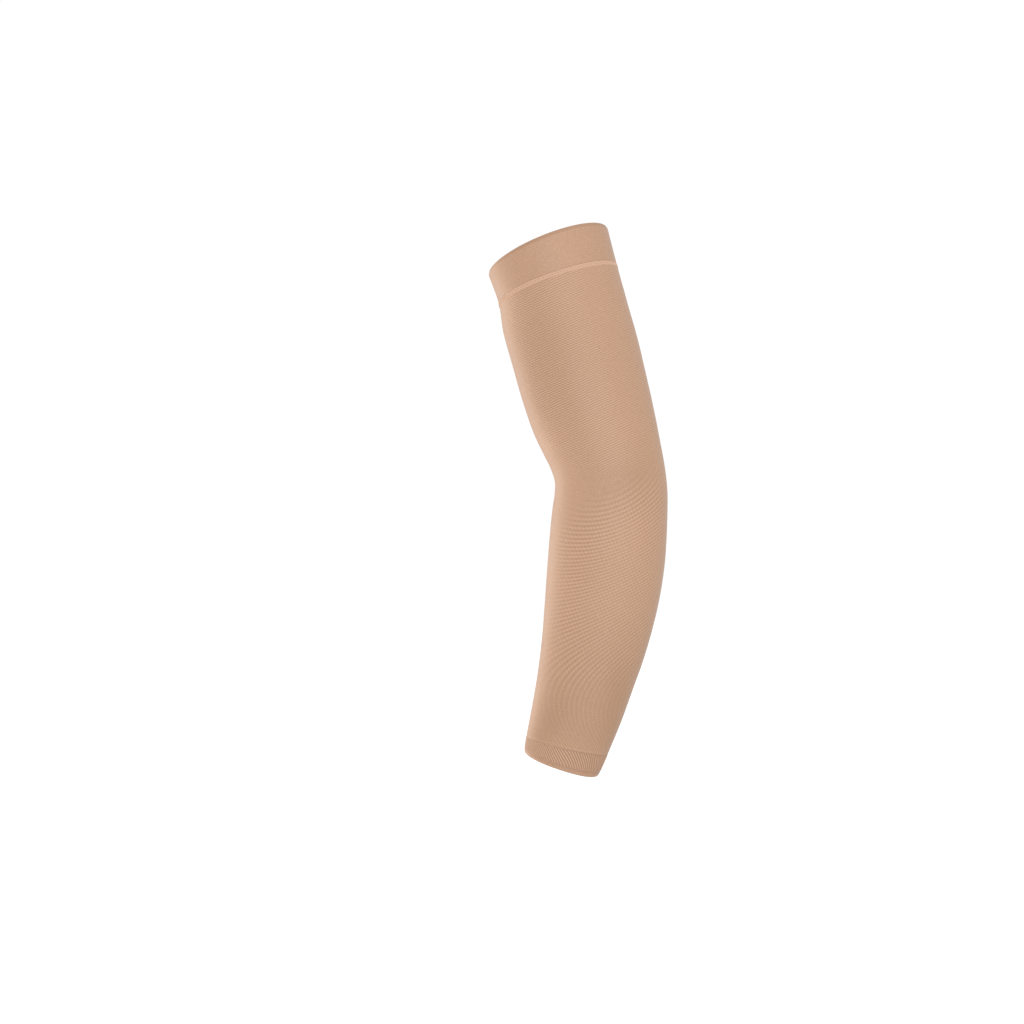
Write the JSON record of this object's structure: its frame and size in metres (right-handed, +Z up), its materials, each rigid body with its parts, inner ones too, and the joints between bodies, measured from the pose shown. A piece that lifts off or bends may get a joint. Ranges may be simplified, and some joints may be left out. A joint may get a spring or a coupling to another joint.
{
  "type": "arm compression sleeve",
  "caption": "Long knit compression sleeve in its worn form, bent at the elbow and tapering to the wrist, with a folded band at the top and a turned hem below.",
  "frame": {"origin": "middle of the upper opening, in the plane of the band's folded edge", "axes": "+Z up the arm from the wrist to the shoulder, +X to the back of the arm (elbow point), -Y to the outer side of the arm"},
  "size_m": [0.1389, 0.1001, 0.4313],
  "materials": {
    "band_knit": "matt double knit, folded edge",
    "seam_thread": "pale matt stitching thread",
    "sleeve_knit": "matt fine compression knit with faint ribs",
    "cuff_knit": "matt ribbed double knit, rolled lip"
  },
  "bodies": {
    "root": {"top_band": "band_knit", "band_seam": "seam_thread", "sleeve_tube": "sleeve_knit", "wrist_cuff": "cuff_knit"}
  },
  "joints": []
}
